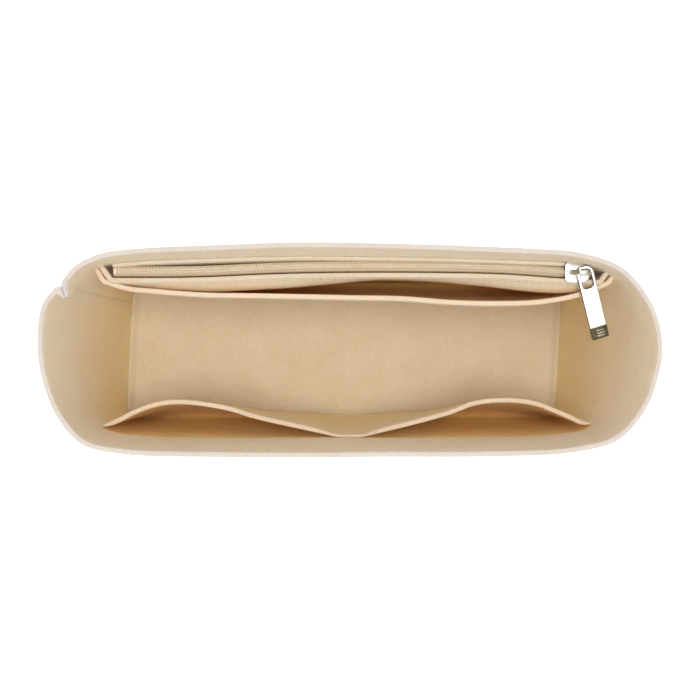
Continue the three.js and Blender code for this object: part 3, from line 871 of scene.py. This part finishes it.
TAPE_THICKNESS = 0.4
TAPE_EDGE = 0.12
TAPE_DROP = 9.5
TAPE_CLEARANCE = 0.25
DECK = coil_low[2]
COIL_HEIGHT = coil_high[2] - coil_low[2]
WIRE = 0.6
TOOTH_PITCH = 1.4
TOOTH_REACH = 1.3
TOOTH_OVERLAP = 0.2
TURN_STEPS = 14
# Below 1, a turn is squarer than round
TURN_SQUARENESS = 0.7
TURN_LEAN = 0.18


def zip_tape(side, node):
    """One tape: flat under its coil, turned down along the felt."""
    low, high = node_box(node)
    x = np.linspace(low[0], high[0], 240)
    outer = ZIP_GROOVE / 2 - TAPE_CLEARANCE
    inner = outer - TAPE_THICKNESS
    # Places of the section across from the zip's middle and up from its deck
    section = [
        (TAPE_EDGE, 0), (1.0, 0), (1.2, -0.2), (1.45, -0.6), (outer - 0.4, -0.9), (outer, -1.3),
        (outer, -TAPE_DROP), (inner, -TAPE_DROP), (inner, -1.6), (1.1, -1.0), (0.9, -0.5),
        (TAPE_EDGE, -TAPE_THICKNESS),
    ][::side]
    rings = [
        [(place, y + side * across, DECK + up) for across, up in section]
        for place, y in zip(x, ZIP_Y + chain_bow(x))
    ]
    faces = capped_faces(len(rings), len(section))
    piece = make_object(node + "_weave", np.array(rings).reshape(-1, 3), faces, [tape_weave])
    work = bmesh.new()
    work.from_mesh(piece.data)
    bmesh.ops.recalc_face_normals(work, faces=work.faces)
    work.to_mesh(piece.data)
    work.free()
    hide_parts(node)
    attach(piece, "root")


def tube(points, radius, sides=6):
    """Points and faces of a closed tube along a line, its section kept upright."""
    along = unit(np.gradient(points, axis=0))
    up = np.where(np.abs(along[:, 2:]) > 0.95, (1.0, 0, 0), UP)
    side = unit(np.cross(along, up))
    up = np.cross(side, along)
    angles = np.arange(sides) / sides * 2 * math.pi
    circle = np.stack([math.cos(angle) * side + math.sin(angle) * up for angle in angles], axis=1)
    return (points[:, None] + radius * circle).reshape(-1, 3), capped_faces(len(points), sides)


def merged(name, parts, materials, sharp=50):
    """One object from many parts, each of points, faces and the numbers of the faces' materials."""
    points, faces, picks, start = [], [], [], 0
    for some, these, those in parts:
        points.append(some)
        faces += [tuple(i + start for i in face) for face in these]
        picks += those
        start += len(some)
    return make_object(name, np.vstack(points), faces, materials, sharp, picks)


def coil(side, node):
    """One row of coil teeth: a flattened winding whose loops reach past the middle."""
    low, high = node_box(node)
    offset = TOOTH_PITCH / 2 if side > 0 else 0
    turns = int((high[0] - low[0] - TOOTH_PITCH) / TOOTH_PITCH)
    turn = np.arange(turns * TURN_STEPS + 1) / TURN_STEPS
    angle = turn * 2 * math.pi

    def squared(wave):
        return np.abs(wave) ** TURN_SQUARENESS * np.sign(wave)

    across = -TOOTH_OVERLAP + TOOTH_REACH / 2 - squared(np.cos(angle)) * ((TOOTH_REACH - WIRE) / 2)
    up = squared(np.sin(angle)) * ((COIL_HEIGHT - WIRE) / 2)
    x = low[0] + offset + turn * TOOTH_PITCH - TURN_LEAN * TOOTH_PITCH * np.sin(2 * angle)
    y = ZIP_Y + chain_bow(x) + side * across
    z = DECK + COIL_HEIGHT / 2 + up
    points, faces = tube(np.column_stack([x, y, z]), WIRE / 2)
    piece = make_object(node + "_teeth", points, faces, [coil_nylon], 60)
    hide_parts(node)
    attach(piece, "root")


# Sewing thread

STITCH = 2.6
STITCH_GAP = 0.7
THREAD_RADIUS = 0.2
# How far a stitch dips below its line at each of its points
STITCH_DIP = 0.3 * np.array([1, 0.25, 0, 0, 0, 0.25, 1])
STITCH_LIFT = 0.05
# Distances of rows of stitches from the edges of what they hold
POCKET_ROW_INSET = 2.5
MIDDLE_ROW_INSET = 1.5
ROWS_ABOVE_BASE = 6
LOWEST_ROW = 7.0
ROWS_BELOW_TOP = 2
BAND_ROW_INSETS = (3.5, 3)
PANEL_ROW_INSET = 3.0
FOOT_ROW_INSET = 2.4
FOOT_ROW_HEIGHT = 0.9


def stitch_row(points, outward):
    """Stitches along a line on a surface, each dipping into it at both ends."""
    route = Route(np.hstack([points, outward]))
    # Its length is that of the points alone
    route.run = Route(points).run
    route.length = route.run[-1]
    parts = []
    for number in range(int(route.length / (STITCH + STITCH_GAP))):
        where = number * (STITCH + STITCH_GAP) + np.linspace(0, STITCH, len(STITCH_DIP))
        spots = route.at(where / route.length)
        some, faces = tube(spots[:, :3] - unit(spots[:, 3:]) * STITCH_DIP[:, None], THREAD_RADIUS)
        parts.append((some, faces, [0] * len(faces)))
    return parts


def outside_row(places, heights):
    """Stitches on the outside of the wall, through paired places and heights."""
    spots, outward = [], []
    for place, z in np.broadcast(places, heights):
        outer, inner = (wall_points(np.array([place]), z, depth)[0] for depth in (-STITCH_LIFT, 1))
        spots.append(outer)
        outward.append(outer - inner)
    return stitch_row(spots, outward)


def face_row(surface, shares, w):
    """Stitches on the front of a back panel, at height share w."""
    spots = surface(shares, w)
    outward = raised(-leftward(unit(np.gradient(spots[:, :2], axis=0))), 0)
    return stitch_row(spots + outward * (SOFT_FELT / 2 + STITCH_LIFT), outward)


def sewing(zip_face):
    inset = POCKET_ROW_INSET / rim_route.length
    start, end = pocket_start + inset, pocket_end - inset
    half = (POCKET_SEWN_WIDTH / 2 - MIDDLE_ROW_INSET) / rim_route.length
    parts = []
    tall = np.linspace(BASE_THICKNESS + ROWS_ABOVE_BASE, POCKET_TOP - ROWS_BELOW_TOP, 60)
    for place in (start, pocket_middle - half, pocket_middle + half, end):
        parts += outside_row(place, tall)
    parts += outside_row(np.linspace(start, end, 260), BASE_THICKNESS + LOWEST_ROW)
    for z in (PANEL_TOP - BAND_ROW_INSETS[0], PANEL_TOP - BAND_HEIGHT + BAND_ROW_INSETS[1]):
        parts += outside_row(np.linspace(band_start, band_end, 220), z)
    tall = np.linspace(BASE_THICKNESS + ROWS_ABOVE_BASE, SLIP_TOP - ROWS_BELOW_TOP, 80)
    for place in (band_start - 3 * inset, band_end + 2 * inset):
        parts += outside_row(place, tall)
    # The foot, sewn to the base all round
    shares = np.linspace(0.004, 0.996, 500)
    inward = leftward(base_route.direction(shares))
    plan = base_route.at(shares) + inward * (WALL_FELT + FOOT_ROW_INSET)
    for z, outward in ((BASE_THICKNESS + FOOT_ROW_HEIGHT, UP), (THREAD_RADIUS - 0.02, -UP)):
        parts += stitch_row(raised(plan, z), np.broadcast_to(outward, (len(plan), 3)))
    shares = np.linspace(0.06, 0.94, 300)
    parts += face_row(zip_face, shares, 1 - PANEL_ROW_INSET / (PANEL_TOP - PANEL_BOTTOM))
    piece = merged("seam_thread", parts, [thread], 60)
    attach(piece, "root")


# Metal pieces

STOP_ROUNDING = 0.22
STOP_WIDTH = 2.6
STOP_HEIGHT = 0.9


def top_stops():
    """The stops at the zip's right end: the frame's own solids with their edges rounded."""
    for node in ("zip_top_stop_rear", "zip_top_stop_front"):
        mesh = bpy.data.meshes.new(node + "_metal")
        work = bmesh.new()
        work.from_mesh(frame["nodes"][node].data)
        bmesh.ops.remove_doubles(work, verts=work.verts, dist=1e-6)
        bmesh.ops.dissolve_limit(work, angle_limit=math.radians(2), verts=work.verts, edges=work.edges)
        work.to_mesh(mesh)
        work.free()
        mesh.materials.append(plated)
        mesh.shade_smooth()
        mesh.set_sharp_from_angle(angle=math.radians(60))
        piece = linked(mesh.name, mesh)
        bevel = piece.modifiers.new("edges", "BEVEL")
        bevel.width = STOP_ROUNDING * MM
        bevel.segments = 3
        bevel.limit_method = "ANGLE"
        bevel.angle_limit = math.radians(32)
        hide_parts(node)
        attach(piece, "root")


# How far a dome's inner ring lies towards its middle, as a share
DOME_INSET = 0.45


def prism(outline, low, high, rounding, dome=0.0):
    """Points, faces and materials of a prism with rounded edges: 0 on top and bottom, 1 round its side for
    the painted dark reflection.
    """
    outline = np.array(outline)
    inward = leftward(unit(np.roll(outline, -1, axis=0) - np.roll(outline, 1, axis=0)))
    angles = np.radians([90, 60, 30, 0])
    drops, insets = rounding * (1 - np.sin(angles)), rounding * (1 - np.cos(angles))
    levels = [*zip(low + drops, insets), *zip(high - drops[::-1], insets[::-1])]
    rings = [raised(outline + inward * inset, z) for z, inset in levels]
    # The top rises to a smaller ring within it
    crown = rings[-1].copy()
    crown[:, :2] = mix(crown[:, :2], outline.mean(axis=0), DOME_INSET)
    crown[:, 2] += dome
    rings.append(crown)
    count = len(outline)
    picks = [int(2 <= level <= 4) for level in range(len(rings) - 1) for _ in range(count)]
    return np.vstack(rings), capped_faces(len(rings), count), picks + [0, 0]


def moved(part, offset, turn=np.eye(3)):
    points, faces, picks = part
    return points @ np.array(turn).T + offset, faces, picks


def repainted(part, number):
    points, faces, picks = part
    return points, faces, [number] * len(picks)


def block(x, y, length, width, radii, steps, low, high, rounding, dome=0.0):
    """A prism on a rounded rectangle about a place."""
    return moved(prism(rounded_outline(length, width, radii, steps), low, high, rounding, dome), (x, y, 0))


# The slider's blocks: place along the zip and across it, length, width, radii and their steps, heights
# above the tapes from low to high, rounding and dome
SLIDER_AT = (104.9, ZIP_Y, DECK)
PLATE_LOW = 2.6
PLATE_HIGH = 3.6
CROWN_TOP = 8.2
PLATE = (0, 0.45, 11.8, 10.1, (2.0, 4.0, 3.0, 2.6), 7, PLATE_LOW, PLATE_HIGH, 0.36, 0.12)
LOWER_PLATE = (0, 0, 11.0, 3.4, 1.1, 4, -1.8, -0.8, 0.3)
NECK = (2.2, 0, 4.0, 0.6, 0.2, 3, -1.0, PLATE_LOW + 0.2, 0.05)
FLANGES = [(0, y, 5.2, 0.4, 0.15, 3, 0.3, PLATE_LOW + 0.2, 0.1) for y in (-2.15, 2.15)]
# A thin dark patch on the crown's top: painted shade where the crown's opening is seen
CROWN_SHADE_PATCH = (-2.2, 0, 3.9, 1.9, 0.6, 5, CROWN_TOP - 0.3, CROWN_TOP + 0.08, 0.02)
# The crown's outlines: length, twice its height above its foot, radii and their steps
CROWN_OUTER = (9.2, 9.4, (0.5, 0.5, 2.2, 2.2), 8)
CROWN_INNER = (5.2, 6.6, (0.4, 0.4, 1.0, 1.0), 8)
CROWN_WIDTH = 2.2
CROWN_ROUNDING = 0.45
CROWN_FOOT = PLATE_HIGH - 0.1
# The pull, in its own axes from its eye to its grip
PULL_PIVOT = (107.7, ZIP_Y, 127.3)
PULL_YAW = math.radians(-73)
PULL_SLOPE = math.radians(12)
PULL_LENGTH = 35.7
PULL_WIDTH = 8.2
PULL_THICKNESS = 1.4
PULL_FROM_TOP = 3.3
PULL_ROUNDING = 0.42
PULL_RADII = (3.8, 0.9, 0.9, 3.8)
EYE = (9.0, 5.2, (1.9, 1.6, 1.6, 1.9), 7)
EYE_X = 6.3
GRIP_LENGTH = 5.6
GRIP_RADII = (0.3, 0.9, 0.9, 0.3)
# The grip's recess reaches under the shank, and its ribs rise almost to the faces
GRIP_REACH = 0.6
GRIP_HALF_HEIGHT = PULL_THICKNESS / 2 - 0.15
RIB = (0.7, 3.6, 0.25, 3, -0.66, 0.66, 0.15)
RIB_Y = 0.5
RIB_STEP = 1.3


def slider():
    """Upper plate with its crown and a dark patch of painted shade on the crown's top, neck, side flanges
    and lower plate.
    """
    parts = [block(*sizes) for sizes in (PLATE, LOWER_PLATE, NECK, *FLANGES)]
    # The crown, and its dark patch of painted shade
    parts += [crown_loop(), repainted(block(*CROWN_SHADE_PATCH), 2)]
    parts = [moved(part, SLIDER_AT) for part in parts]
    piece = merged("slider_metal", parts, [plated, painted_reflection_metal, dark_grip_and_crown_shade_metal], 40)
    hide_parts("slider_body")
    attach(piece, "slider")


def crown_loop():
    """The crown: an arch of rounded section, a flat loop on its edge drawn out across the slider."""
    outer, inner = rounded_outline(*CROWN_OUTER), rounded_outline(*CROWN_INNER)
    edge = outer + unit(inner - outer) * CROWN_ROUNDING
    half = CROWN_WIDTH / 2
    across = [CROWN_ROUNDING - half, -half, -half, half, half, half - CROWN_ROUNDING]
    lines = zip((outer, edge, inner, inner, edge, outer), across)
    rings = [np.insert(line, 1, y, axis=1) + (0, 0, CROWN_FOOT) for line, y in lines]
    points = np.stack(rings, axis=1).reshape(-1, 3)
    # The last ring joins the first
    faces = [tuple(i % len(points) for i in face) for face in skin_faces(len(outer) + 1, len(across))]
    # Its sides and the inside of its arch take the painted dark reflection
    return points, faces, [0, 1, 1, 1, 0, 0] * len(outer)


def pull_plate(outlines):
    """Points, faces and materials of the pull's plate with its eye: 0 on the flats, 1 round the edges for
    the painted dark reflection.
    """
    curve = bpy.data.curves.new("pull_outline", "CURVE")
    curve.dimensions = "2D"
    curve.fill_mode = "BOTH"
    curve.extrude = (PULL_THICKNESS / 2 - PULL_ROUNDING) * MM
    curve.bevel_depth = PULL_ROUNDING * MM
    curve.bevel_resolution = 2
    curve.offset = -PULL_ROUNDING * MM
    for outline in outlines:
        spline = curve.splines.new("POLY")
        spline.points.add(len(outline) - 1)
        for point, (x, y) in zip(spline.points, outline):
            point.co = (x * MM, y * MM, 0, 1)
        spline.use_cyclic_u = True
    holder = linked("pull_outline", curve)
    bpy.context.view_layer.update()
    mesh = bpy.data.meshes.new_from_object(holder.evaluated_get(bpy.context.evaluated_depsgraph_get()))
    work = bmesh.new()
    work.from_mesh(mesh)
    bmesh.ops.remove_doubles(work, verts=work.verts, dist=1e-7)
    bmesh.ops.recalc_face_normals(work, faces=work.faces)
    work.normal_update()
    points = np.array([v.co[:] for v in work.verts]) / MM
    faces = [tuple(v.index for v in face.verts) for face in work.faces]
    # Faces turned away from straight up take the painted dark reflection
    picks = [int(abs(face.normal.z) < 0.75) for face in work.faces]
    work.free()
    bpy.data.batch_remove([holder, curve, mesh])
    return points, faces, picks


def pull():
    """Flat pull: a rounded eye, a straight shank and a dark recessed grip with ribs at its end."""
    x = PULL_LENGTH / 2
    shank = rounded_outline(PULL_LENGTH, PULL_WIDTH, PULL_RADII, 10)
    shank[:, 0] = np.minimum(shank[:, 0], x - GRIP_LENGTH)
    eye = rounded_outline(*EYE) + np.array((EYE_X - x, 0))
    parts = [pull_plate([shank, eye[::-1]])]
    grip = (GRIP_LENGTH + GRIP_REACH, PULL_WIDTH, GRIP_RADII, 5, -GRIP_HALF_HEIGHT, GRIP_HALF_HEIGHT, 0.3)
    parts.append(repainted(block(x - (GRIP_LENGTH + GRIP_REACH) / 2, 0, *grip), 2))
    for place in (-RIB_STEP, 0, RIB_STEP):
        parts.append(repainted(block(x - GRIP_LENGTH / 2 + place, RIB_Y, *RIB), 3))
    turn = Matrix.Rotation(PULL_YAW, 3, "Z") @ Matrix.Rotation(PULL_SLOPE, 3, "Y")
    centred = [moved(part, (x - PULL_FROM_TOP, 0, 0)) for part in parts]
    parts = [moved(part, PULL_PIVOT, turn) for part in centred]
    piece = merged("pull_metal", parts, [plated, painted_reflection_metal, dark_grip_and_crown_shade_metal, rib_metal], 40)
    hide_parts("pull_tab")
    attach(piece, "pull")


def bottom_stop():
    """Moulded stop in the colour of the teeth."""
    low, high = node_box("zip_bottom_stop")
    x, y = (low[0] + high[0]) / 2, ZIP_Y + float(chain_bow(low[0]))
    stop = block(x, y, high[0] - low[0], STOP_WIDTH, 0.5, 5, low[2] - 0.2, DECK + STOP_HEIGHT, 0.35, 0.1)
    piece = merged("zip_bottom_stop_moulded", [repainted(stop, 0)], [coil_nylon])
    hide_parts("zip_bottom_stop")
    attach(piece, "root")


# Floor, light and camera

CAMERA_AT = (-14.3, 4.7, 607.0)
CAMERA_AIM = (-1.2, 0.05, 140.0)
FOCAL_PIXELS = 1045.0
FRAME_PIXELS = 700.0
SENSOR = 36.0
FLOOR_HALF = 3000.0
FLOOR_DROP = 0.05
FLOOR_GLOW = 0.35
# Strength of the world as light, and where it is seen
WORLD_LIGHT, WORLD_SEEN = 0.58, 1.0
LAMP_COLOUR = (1.0, 0.985, 0.965)
# Lamps by name, with place and size in metres and power in watts
LAMPS = {
    "overhead_soft": ((-0.02, 0.0, 1.6), 0.55, 12.5),
    "side_soft": ((0.3, -0.6, 1.4), 1.0, 2.2),
}


def stage():
    corners = raised(np.array([(-1, -1), (1, -1), (1, 1), (-1, 1)]) * FLOOR_HALF, -FLOOR_DROP)
    shader = Shader("pale_floor", roughness=0.9, specular_ior_level=0.1, emission_color=(1, 1, 1, 1))
    cloud = shader.noise(shader.place(), 1.2, detail=2)
    greys = ((0.93, 0.93, 0.93, 1), (0.96, 0.96, 0.96, 1))
    shader.feed(shader.surface["Base Color"], shader.ramp(cloud, (0.3, 0.7), greys))
    shader.feed(shader.surface["Emission Strength"], shader.maths("MULTIPLY", shader.seen(), FLOOR_GLOW))
    floor = make_object("floor", corners, [(0, 1, 2, 3)], [shader.material])


def lights():
    world = bpy.data.worlds.new("soft_studio")
    bpy.context.scene.world = world
    world.use_nodes = True
    nodes = Nodes(world.node_tree)
    limits = [("Value", nodes.seen()), ("To Min", WORLD_LIGHT), ("To Max", WORLD_SEEN)]
    background = nodes.tree.nodes["Background"].inputs
    nodes.feed(background["Strength"], nodes.add("ShaderNodeMapRange", limits).outputs["Result"])
    nodes.feed(background["Color"], (1, 1, 1, 1))
    for name, (at, size, watts) in LAMPS.items():
        lamp = bpy.data.lights.new(name, "AREA")
        lamp.shape = "DISK"
        lamp.size = size
        lamp.energy = watts
        lamp.color = LAMP_COLOUR
        holder = linked(name, lamp)
        holder.location = at
        holder.rotation_euler = (-Vector(at)).to_track_quat("-Z", "Y").to_euler()


def camera():
    data = bpy.data.cameras.new("camera")
    data.sensor_width = SENSOR
    data.lens = SENSOR * FOCAL_PIXELS / FRAME_PIXELS
    data.clip_end = 20
    holder = linked("camera", data)
    holder.location = Vector(CAMERA_AT) * MM
    forward = (Vector(CAMERA_AIM) - Vector(CAMERA_AT)).normalized()
    right = forward.cross(Vector((0, 1, 0))).normalized()
    turn = Matrix((right, right.cross(forward), -forward)).transposed()
    holder.rotation_euler = turn.to_euler()
    bpy.context.scene.camera = holder


camera()
lights()
stage()
base_sheet()
wall_strip()
front_pockets()
zip_face = zip_panel()
slip_panel()
rear_band()
zip_tape(1, "zip_tape_rear")
zip_tape(-1, "zip_tape_front")
coil(1, "zip_coil_rear")
coil(-1, "zip_coil_front")
sewing(zip_face)
slider()
pull()
top_stops()
bottom_stop()

bpy.context.scene.view_settings.view_transform = "Standard"
